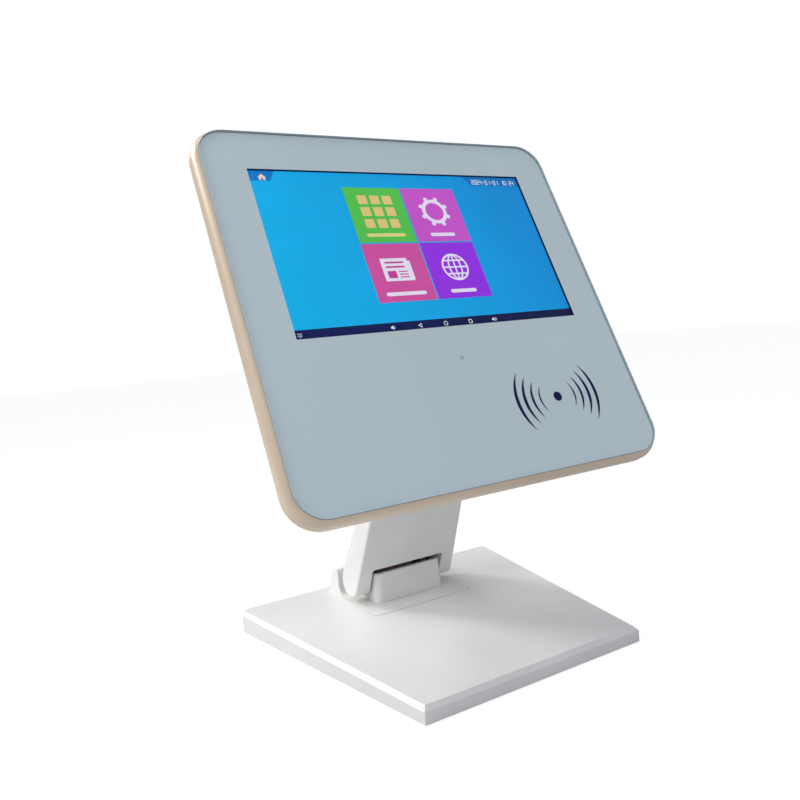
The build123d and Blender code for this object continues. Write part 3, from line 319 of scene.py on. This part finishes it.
# ---- Lit picture on the display cell, in mm: x from its middle, v up from its lower edge ----
CELL_THICK = 0.002
PICTURE_W, PICTURE_H = 256.1, 144.5
cell_low, cell_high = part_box("lcd_cell")
cell_height = (cell_high.z - cell_low.z - CELL_THICK * sin(PANEL_LEAN)) / cos(PANEL_LEAN)
picture_foot = Vector((0, cell_low.y, cell_low.z + CELL_THICK * sin(PANEL_LEAN)))
picture_foot += PANEL_UP * (cell_height - PICTURE_H * MM) / 2
LAYER = 0.02  # from one layer of the picture to the next
PLATE = 0.6  # a plate's thickness, as a share of a layer
SCREEN_BLACK = (0.01, 0.01, 0.012, 1)
SCREEN_ROUGH = 0.3
HAZE_SCALE = 14
HAZE_SHARE = 0.1


def screen_point(x, v, layer):
    on_cell = picture_foot + Vector((x * MM, 0, 0)) + PANEL_UP * v * MM
    return on_cell + PANEL_OUT * layer * LAYER * MM


def lit(name, rgb, end_rgb=None, across=0.0):
    """Light from the display: a colour that drifts across the picture, with an uneven backlight."""
    s = Shader(name)
    if end_rgb:
        place = s.node("ShaderNodeSeparateXYZ", {0: s.coords})
        half = PICTURE_W * MM / 2
        along = s.math("ADD", place.outputs["X"], s.math("MULTIPLY", place.outputs["Z"], across))
        middle = across * (picture_foot.z + PICTURE_H * MM / 2)
        fac = s.remap(along, 0, 1, middle - half, middle + half)
        colour = s.blend(fac, linear(rgb), linear(end_rgb))
    else:
        colour = linear(rgb)
    haze = s.noise(HAZE_SCALE, 2)
    colour = s.blend(s.remap(haze, 0.0, HAZE_SHARE), colour, (0.0, 0.0, 0.0, 1.0))
    glow = s.principled(
        Base_Color=SCREEN_BLACK,
        Roughness=SCREEN_ROUGH,
        Emission_Color=colour,
        Emission_Strength=1.0,
    )
    return s.done(glow)


def plates(name, shapes, layer, material, body="head"):
    """Thin lit shapes on the display. A shape is one loop of points, or an outer and an inner."""
    mesh = bmesh.new()
    for shape in shapes:
        if isinstance(shape[0][0], (tuple, list)):
            outer, inner = (
                [mesh.verts.new(screen_point(x, v, layer)) for x, v in loop] for loop in shape
            )
            n = len(outer)
            for k in range(n):
                m = (k + 1) % n
                mesh.faces.new((outer[k], outer[m], inner[m], inner[k]))
        else:
            mesh.faces.new([mesh.verts.new(screen_point(x, v, layer)) for x, v in shape])
    bmesh.ops.recalc_face_normals(mesh, faces=mesh.faces)
    for face in mesh.faces:
        if face.normal.dot(PANEL_OUT) < 0:
            face.normal_flip()
    front = mesh.faces[:]
    rise = bmesh.ops.extrude_face_region(mesh, geom=front)
    moved = [v for v in rise["geom"] if isinstance(v, bmesh.types.BMVert)]
    bmesh.ops.translate(mesh, verts=moved, vec=PANEL_OUT * PLATE * LAYER * MM)
    bmesh.ops.recalc_face_normals(mesh, faces=mesh.faces)
    data = bpy.data.meshes.new(name)
    mesh.to_mesh(data)
    mesh.free()
    piece = bpy.data.objects.new(name, data)
    data.materials.append(material)
    scene.collection.objects.link(piece)
    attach(piece, body)


def block(x0, v0, x1, v1):
    return [(x0, v0), (x1, v0), (x1, v1), (x0, v1)]


def circle(x, v, rx, ry=None, count=36, start=0.0, end=2 * pi):
    ry = rx if ry is None else ry
    steps = count if abs(end - start - 2 * pi) < 1e-6 else count - 1
    turns = [start + (end - start) * k / steps for k in range(count)]
    return [(x + rx * cos(turn), v + ry * sin(turn)) for turn in turns]


def line(points, width):
    """A stroke of even width along points, as a closed loop."""
    left, right = [], []
    for k, (x, v) in enumerate(points):
        a, b = points[max(k - 1, 0)], points[min(k + 1, len(points) - 1)]
        run = Vector((b[0] - a[0], b[1] - a[1])).normalized() * width / 2
        left.append((x - run.y, v + run.x))
        right.append((x + run.y, v - run.x))
    return left + right[::-1]


def pill(x0, x1, v, height):
    """A bar with round ends, standing where a caption would be."""
    r = height / 2
    right_end = circle(x1 - r, v, r, count=9, start=-pi / 2, end=pi / 2)
    left_end = circle(x0 + r, v, r, count=9, start=pi / 2, end=3 * pi / 2)
    return right_end + left_end


GEAR_TEETH = 8
GEAR_TIP, GEAR_ROOT, GEAR_HOLE = 14.7, 11.9, 8.6


def gear(x, v):
    """The outer and inner loops of a gear symbol, with the same number of points on each."""
    tip, root, hole = GEAR_TIP, GEAR_ROOT, GEAR_HOLE
    outer, inner = [], []
    pitch = 2 * pi / GEAR_TEETH
    for k in range(GEAR_TEETH):
        middle = pitch * k + pitch / 2
        for turn, r in ((-0.5, root), (-0.19, root), (-0.15, tip), (0.15, tip), (0.19, root)):
            angle = middle + pitch * turn
            outer.append((x + r * cos(angle), v + r * sin(angle)))
            inner.append((x + hole * cos(angle), v + hole * sin(angle)))
    return outer, inner


TILE = 52.2
TILE_GAP = 1.2
TILES_LOW = 25.2
LOW_ROW = TILES_LOW + TILE / 2
HIGH_ROW = LOW_ROW + TILE + TILE_GAP
LEFT, RIGHT = -(TILE + TILE_GAP) / 2, (TILE + TILE_GAP) / 2
BAR_TOP = 8.2


def tile(x, v):
    return block(x - TILE / 2, v - TILE / 2, x + TILE / 2, v + TILE / 2)


looks["cell"] = lit("lit_cell_edge", (5, 5, 78), (4, 4, 70))
plates("screen_wallpaper", [block(-PICTURE_W / 2, 0, PICTURE_W / 2, PICTURE_H)], 1,
       lit("lit_wallpaper", (0, 178, 238), (0, 138, 214), across=0.35))
plates("screen_navigation_bar", [block(-PICTURE_W / 2, 0, PICTURE_W / 2, BAR_TOP)], 2,
       lit("lit_navy", (4, 14, 84), (2, 8, 62)))
plates("tile_apps", [tile(LEFT, HIGH_ROW)], 2, lit("lit_green", (84, 196, 74), (88, 186, 84)))
plates("tile_settings", [tile(RIGHT, HIGH_ROW)], 2,
       lit("lit_orchid", (206, 88, 206), (196, 80, 200)))
plates("tile_files", [tile(LEFT, LOW_ROW)], 2, lit("lit_pink", (212, 78, 160), (200, 82, 158)))
plates("tile_browser", [tile(RIGHT, LOW_ROW)], 2, lit("lit_purple", (152, 52, 228), (142, 40, 222)))

GRID_SQUARE, GRID_STEP = 8.4, 11.3
grid_mid = HIGH_ROW + 3.0
plates(
    "icon_grid",
    [
        block(
            LEFT + GRID_STEP * i - GRID_SQUARE / 2,
            grid_mid + GRID_STEP * j - GRID_SQUARE / 2,
            LEFT + GRID_STEP * i + GRID_SQUARE / 2,
            grid_mid + GRID_STEP * j + GRID_SQUARE / 2,
        )
        for i in (-1, 0, 1)
        for j in (-1, 0, 1)
    ],
    3,
    lit("lit_tan", (232, 202, 128), (222, 196, 122)),
)
pale = lit("lit_pale", (236, 226, 246), (228, 220, 240))
plates("icon_gear", [gear(RIGHT, HIGH_ROW + 3.2)], 3, pale)

# a folded news sheet: the page, its second leaf, and what is printed on it in the tile's colour
page_x, page_v = LEFT - 1.2, LOW_ROW + 2.4
plates(
    "icon_page",
    [
        [(page_x - 13, page_v - 10.2), (page_x + 12.4, page_v - 10.2),
         (page_x + 13.4, page_v - 9.2), (page_x + 13.4, page_v + 7.6),
         (page_x + 11.0, page_v + 7.6), (page_x + 11.0, page_v + 10.2),
         (page_x - 13, page_v + 10.2)],
    ],
    3,
    pale,
)
plates(
    "icon_page_print",
    [
        block(page_x - 9.6, page_v + 5.6, page_x + 7.4, page_v + 7.2),
        block(page_x - 9.6, page_v + 1.6, page_x + 7.4, page_v + 3.2),
        block(page_x - 9.6, page_v - 7.6, page_x - 1.8, page_v - 1.2),
        block(page_x + 0.6, page_v - 2.4, page_x + 8.6, page_v - 1.4),
        block(page_x + 0.6, page_v - 4.9, page_x + 8.6, page_v - 3.9),
        block(page_x + 0.6, page_v - 7.4, page_x + 8.6, page_v - 6.4),
    ],
    4,
    lit("lit_pink_print", (196, 60, 148)),
)

# a plain globe: rim, equator, two parallels, the middle meridian and one oval
globe_x, globe_v, GLOBE_R, GLOBE_LINE = RIGHT, LOW_ROW + 2.6, 12.6, 1.7
half_chord = (GLOBE_R**2 - 6.2**2) ** 0.5 - 0.6
plates(
    "icon_globe",
    [
        (circle(globe_x, globe_v, GLOBE_R), circle(globe_x, globe_v, GLOBE_R - GLOBE_LINE)),
        (circle(globe_x, globe_v, 6.4, GLOBE_R - 0.6),
         circle(globe_x, globe_v, 4.9, GLOBE_R - 2.0)),
    ],
    3,
    pale,
)
plates(
    "icon_globe_lines",
    [
        line([(globe_x - GLOBE_R + 0.6, globe_v), (globe_x + GLOBE_R - 0.6, globe_v)], 1.4),
        line([(globe_x - half_chord, globe_v + 6.2), (globe_x + half_chord, globe_v + 6.2)], 1.4),
        line([(globe_x - half_chord, globe_v - 6.2), (globe_x + half_chord, globe_v - 6.2)], 1.4),
        line([(globe_x, globe_v - GLOBE_R + 0.6), (globe_x, globe_v + GLOBE_R - 0.6)], 1.4),
    ],
    4,
    pale,
)
plates(
    "tile_captions",
    [
        pill(RIGHT - 12, RIGHT + 12, HIGH_ROW - 19.4, 3.2),
        pill(LEFT - 18, LEFT + 18, LOW_ROW - 19.2, 3.2),
        pill(RIGHT - 12.5, RIGHT + 12.5, LOW_ROW - 19.4, 3.2),
    ],
    3,
    pale,
)
plates("tile_caption_apps", [pill(LEFT - 17.5, LEFT + 17.5, HIGH_ROW - 19.2, 3.2)], 3,
       lit("lit_tan_caption", (224, 214, 132)))

NAV_V = 4.0
NAV_STEP = 23.45
nav = [k * NAV_STEP - 1.6 for k in (-2, -1, 0, 1, 2)]


def volume_mark(x, waves):
    """A loudspeaker with one or two sound lines."""
    shapes = [[(x - 2.2, NAV_V - 0.7), (x - 1.2, NAV_V - 0.7), (x + 0.2, NAV_V - 1.9),
               (x + 0.2, NAV_V + 1.9), (x - 1.2, NAV_V + 0.7), (x - 2.2, NAV_V + 0.7)]]
    for k in range(waves):
        arc = circle(x + 0.1, NAV_V, 1.2 + 0.9 * k, count=9, start=-0.8, end=0.8)
        shapes.append(line(arc, 0.4))
    return shapes


plates(
    "navigation_marks",
    [
        *volume_mark(nav[0], 1),
        ([(nav[1] - 2.0, NAV_V), (nav[1] + 1.5, NAV_V - 2.0), (nav[1] + 1.5, NAV_V + 2.0)],
         [(nav[1] - 1.0, NAV_V), (nav[1] + 1.0, NAV_V - 1.15), (nav[1] + 1.0, NAV_V + 1.15)]),
        (circle(nav[2], NAV_V, 1.9, count=24), circle(nav[2], NAV_V, 1.35, count=24)),
        (block(nav[3] - 1.7, NAV_V - 1.7, nav[3] + 1.7, NAV_V + 1.7),
         block(nav[3] - 1.15, NAV_V - 1.15, nav[3] + 1.15, NAV_V + 1.15)),
        *volume_mark(nav[4], 2),
        line([(-125.4, NAV_V + 1.6), (-123.8, NAV_V + 0.4), (-122.2, NAV_V + 1.6)], 0.5),
        line([(-125.4, NAV_V - 0.2), (-123.8, NAV_V - 1.4), (-122.2, NAV_V - 0.2)], 0.5),
    ],
    3,
    lit("lit_white", (235, 235, 245)),
)

TAB_LOW = 135.3
plates(
    "screen_tabs",
    [
        [(-PICTURE_W / 2, TAB_LOW), (-110.9, TAB_LOW),
         (-106.2, PICTURE_H), (-PICTURE_W / 2, PICTURE_H)],
        [(74.4, TAB_LOW), (PICTURE_W / 2, TAB_LOW),
         (PICTURE_W / 2, PICTURE_H), (68.6, PICTURE_H)],
    ],
    2,
    lit("lit_tab_blue", (0, 118, 196), (0, 112, 190)),
)
plates(
    "home_mark",
    [[(-120.4, 138.6), (-119.6, 138.6), (-119.6, 135.9), (-117.9, 135.9), (-117.9, 137.6),
      (-116.2, 137.6), (-116.2, 135.9), (-114.5, 135.9), (-114.5, 138.6), (-113.7, 138.6),
      (-117.0, 141.7)]],
    3,
    lit("lit_home", (240, 206, 196)),
)

# the clock: figures made of seven strokes
STROKES = {0: "abcdef", 1: "bc", 2: "abged", 4: "fgbc"}
STROKE_THICK = 0.62
FIGURE_W, FIGURE_H = 1.9, 4.4
CLOCK_X, CLOCK_STEP, CLOCK_V = 77.0, 2.98, 136.6


def figure(number, x, v):
    w, h = FIGURE_W, FIGURE_H
    ends = {
        "a": ((0, h), (w, h)),
        "b": ((w, h), (w, h / 2)),
        "c": ((w, h / 2), (w, 0)),
        "d": ((0, 0), (w, 0)),
        "e": ((0, 0), (0, h / 2)),
        "f": ((0, h / 2), (0, h)),
        "g": ((0, h / 2), (w, h / 2)),
    }
    return [
        line([(x + p, v + q) for p, q in ends[stroke]], STROKE_THICK) for stroke in STROKES[number]
    ]


clock = []
for k, mark in enumerate("2024-01-01 10:24"):
    x = CLOCK_X + CLOCK_STEP * k
    if mark == "-":
        clock.append(line([(x + 0.3, CLOCK_V + 2.3), (x + 2.0, CLOCK_V + 2.3)], STROKE_THICK))
    elif mark == ":":
        clock += [block(x + 0.85, CLOCK_V + v, x + 1.45, CLOCK_V + v + 0.6) for v in (1.0, 3.2)]
    elif mark != " ":
        clock += figure(int(mark), x, CLOCK_V)
plates("screen_clock", clock, 3, lit("lit_clock", (222, 232, 244)))

# ---- Every CAD piece gets its finish ----
FINISHES = {
    "white": (
        "base_cover", "pedestal_cover", "neck_front_shell", "neck_rear_cover", "power_button",
    ),
    "white_grained": ("rear_housing",),
    "taupe": ("hinge_leaf",),
    "sensor_lens": ("light_sensor",),
    "cell": ("lcd_cell",),
    "black_coat": ("base_floor_plate",),
    "grey_coat": ("head_bracket",),
    "rubber": ("base_feet",),
    "foam": ("glass_tape", "display_gasket"),
    "black_plastic": ("board_chips", "speakers", "power_inlet", "drawer_socket", "power_switch"),
    "acetal": ("base_hinge_bushes", "head_hinge_bushes"),
    "board": ("main_board", "reader_board", "port_board"),
    "blue_board": ("antenna_boards",),
    "film": ("display_cable",),
    "ribbon": ("reader_cable", "port_cable"),
    "acrylic": ("light_guide",),
    "ferrite": ("reader_ferrite",),
    "steel": (
        "ballast_plate", "floor_plate_screws", "pedestal_screws", "base_bracket_bolts",
        "neck_spine", "spine_screws", "neck_cover_screws", "backlight_tray", "chassis_plate",
        "board_screws", "housing_screws", "bracket_screws",
    ),
    "dark_steel": ("lower_hinge_arms", "upper_hinge_arms", "base_hinge_bracket"),
    "ground_steel": ("lower_hinge_shaft", "upper_hinge_shaft"),
    "spring_steel": ("lower_friction_washers", "upper_friction_washers"),
    "nickel": ("clock_battery", "lower_hinge_nut", "upper_hinge_nut"),
    "shield": ("network_socket", "usb_sockets"),
    "dark_fins": ("heat_sink",),
    "champagne": ("edge_frame",),
    "glass": ("cover_glass",),
    "touch": ("touch_sensor",),
    "border_ink": ("printed_border",),
    "mark_ink": ("reader_symbol",),
}
for look, names in FINISHES.items():
    for name in names:
        slots = nodes[name].material_slots
        for held in slots:
            held.material = looks[look]
        if not slots:
            nodes[name].data.materials.append(looks[look])

# ---- Floor and light ----
FLOOR_REACH = 8.0
FLOOR_TONES = ((0.54, 0.55, 0.56, 1), (0.58, 0.58, 0.58, 1))
FLOOR_GLOW, FLOOR_SHARE = 1.17, 0.8  # what the camera sees of the floor that is light of its own


def floor():
    """A white sweep: it bounces a little light, and the camera sees it almost evenly white."""
    data = bpy.data.meshes.new("studio_floor")
    reach = FLOOR_REACH
    corners = [(-reach, -reach, 0), (reach, -reach, 0), (reach, reach, 0), (-reach, reach, 0)]
    data.from_pydata(corners, [], [(0, 1, 2, 3)])
    piece = bpy.data.objects.new("studio_floor", data)
    s = Shader("studio_floor")
    pale_tone = s.blend(s.remap(s.noise(2, 3), 0, 1), *FLOOR_TONES)
    matt = s.principled(Base_Color=pale_tone, Roughness=0.6, Specular_IOR_Level=0.1)
    glow = s.node("ShaderNodeEmission", {"Color": (1, 1, 1, 1), "Strength": FLOOR_GLOW}).outputs[0]
    seen = s.node("ShaderNodeLightPath").outputs["Is Camera Ray"]
    share = s.math("MULTIPLY", seen, FLOOR_SHARE)
    mixed = s.node("ShaderNodeMixShader", {0: share, 1: matt, 2: glow})
    data.materials.append(s.done(mixed.outputs[0]))
    scene.collection.objects.link(piece)


def softbox(name, place, target, size, power, colour=(1, 1, 1), glossy=True):
    data = bpy.data.lights.new(name, "AREA")
    data.shape = "RECTANGLE"
    data.size, data.size_y = size
    data.energy = power
    data.color = colour
    lamp = bpy.data.objects.new(name, data)
    lamp.location = place
    lamp.rotation_euler = (Vector(target) - Vector(place)).to_track_quat("-Z", "Y").to_euler()
    lamp.visible_glossy = glossy
    scene.collection.objects.link(lamp)


def surroundings(light, mirrored):
    """A plain room: dim and cool as light, dimmer in the object's gloss, white to the camera."""
    world = bpy.data.worlds.new("studio")
    scene.world = world
    world.use_nodes = True
    tree = world.node_tree
    tree.nodes.clear()
    path = tree.nodes.new("ShaderNodeLightPath")
    out = tree.nodes.new("ShaderNodeOutputWorld")
    sky, sheen, backdrop = (tree.nodes.new("ShaderNodeBackground") for _ in range(3))
    for shade, colour, strength in (
        (sky, (0.93, 0.97, 1.08, 1), light),
        (sheen, (0.95, 0.98, 1.04, 1), mirrored),
        (backdrop, (1, 1, 1, 1), 1.0),
    ):
        shade.inputs["Color"].default_value = colour
        shade.inputs["Strength"].default_value = strength
    first, second = (tree.nodes.new("ShaderNodeMixShader") for _ in range(2))
    tree.links.new(path.outputs["Is Glossy Ray"], first.inputs[0])
    tree.links.new(sky.outputs[0], first.inputs[1])
    tree.links.new(sheen.outputs[0], first.inputs[2])
    tree.links.new(path.outputs["Is Camera Ray"], second.inputs[0])
    tree.links.new(first.outputs[0], second.inputs[1])
    tree.links.new(backdrop.outputs[0], second.inputs[2])
    tree.links.new(second.outputs[0], out.inputs["Surface"])


floor()
surroundings(light=0.36, mirrored=0.12)
MIDDLE = (0, 0, 0.18)
WARM, COOL = (1.0, 0.98, 0.95), (0.97, 0.98, 1.0)
softbox("window_light", (-0.95, 1.15, 1.25), MIDDLE, (0.45, 0.45), 14, WARM)
softbox("side_fill", (-1.7, 0.2, 1.0), MIDDLE, (1.4, 1.4), 16, WARM, glossy=False)
softbox("ceiling_light", (-0.2, 0.5, 2.0), MIDDLE, (0.8, 0.8), 8)
softbox("front_fill", (0.5, -2.2, 1.8), MIDDLE, (1.2, 1.2), 11.5, COOL, glossy=False)
